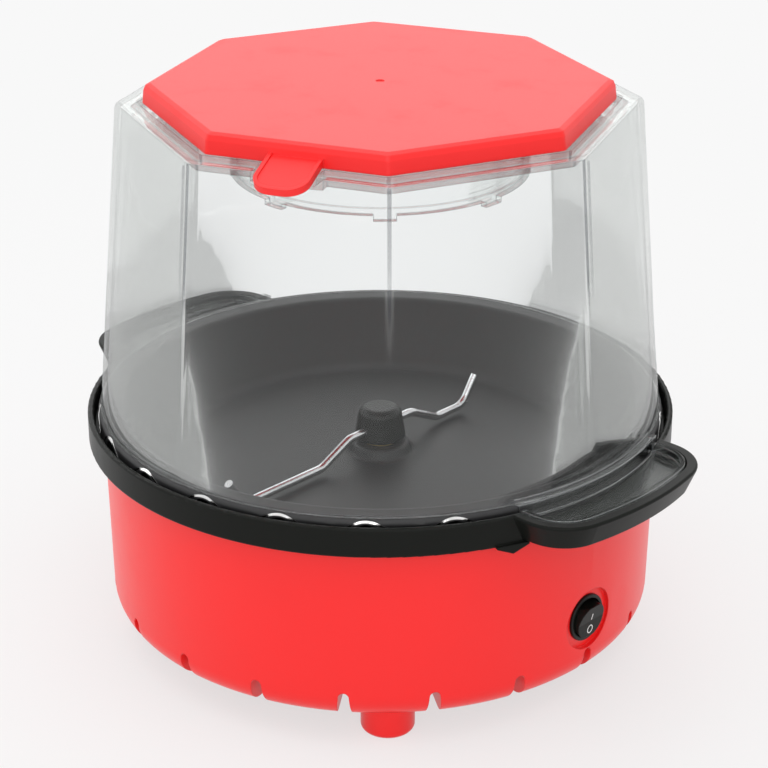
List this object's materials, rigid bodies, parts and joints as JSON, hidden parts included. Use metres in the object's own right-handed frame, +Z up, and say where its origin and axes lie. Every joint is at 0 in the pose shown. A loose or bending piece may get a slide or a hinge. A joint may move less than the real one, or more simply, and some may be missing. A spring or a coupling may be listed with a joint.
{
  "type": "popcorn maker",
  "caption": "Stirred hot-plate popcorn maker: red drum base with black handle ring, heated pan, clear eight-sided lift-off cover that serves as a bowl, and a red lid with a lift tab.",
  "frame": {"origin": "on the table under the centre of the base", "axes": "+Z up, -Y front, handles along X, switch on +X"},
  "size_m": [0.3158, 0.27, 0.263],
  "materials": {
    "red_plastic": "gloss",
    "black_plastic": "satin",
    "block_plastic": "satin",
    "rubber_black": "matte",
    "pan_coating": "non-stick coating with bare edges",
    "clear_plastic": "clear",
    "steel": "zinc",
    "motor_steel": "satin",
    "aluminium_sheet": "mill",
    "element_sheath": "heat-darkened",
    "stirrer_wire": "bright",
    "bush_brass": "machined",
    "thermostat_body": "matte",
    "fuse_sleeve": "woven sleeve",
    "lead_insulation": "silicone"
  },
  "bodies": {
    "base": {"base_housing": "red_plastic", "handle_ring": "black_plastic", "switch_housing": "black_plastic", "terminal_block": "block_plastic", "cord_gland": "rubber_black", "heating_pan": "pan_coating", "ring_screws": "steel", "base_screws": "steel", "shield_screws": "steel", "motor_screws": "steel", "block_screw": "steel", "pan_brackets": "steel", "element_clamps": "steel", "thermostat_clip": "steel", "fuse_clip": "steel", "shield_standoffs": "steel", "motor_body": "motor_steel", "heat_shield": "aluminium_sheet", "heating_element": "element_sheath", "shaft_bush": "bush_brass", "switch_terminals": "bush_brass", "thermostat": "thermostat_body", "thermal_fuse": "fuse_sleeve", "wiring_leads": "lead_insulation"},
    "drive": {"drive_shaft": "steel", "shaft_clip": "steel"},
    "stirrer": {"stirrer_hub": "black_plastic", "stirrer_rods": "stirrer_wire"},
    "rocker": {"switch_rocker": "black_plastic"},
    "cover": {"clear_cover": "clear_plastic"},
    "lid": {"lid": "red_plastic"}
  },
  "joints": [
    {"name": "stirrer_spin", "type": "hinge", "parent": "base", "child": "drive", "pos_m": [0, 0, 0.09], "axis": [0, 0, 1], "continuous": true},
    {"name": "stirrer_lift_off", "type": "slide", "parent": "drive", "child": "stirrer", "axis": [0, 0, 1], "range_m": [0, 0.06]},
    {"name": "switch_rocker_tilt", "type": "hinge", "parent": "base", "child": "rocker", "pos_m": [0.12322, 0, 0.043], "axis": [0, -1, 0], "range_deg": [0, 20]},
    {"name": "cover_lift", "type": "slide", "parent": "base", "child": "cover", "axis": [0, 0, 1], "range_m": [0, 0.16]},
    {"name": "lid_lift", "type": "slide", "parent": "cover", "child": "lid", "axis": [0, 0, 1], "range_m": [0, 0.1]}
  ]
}
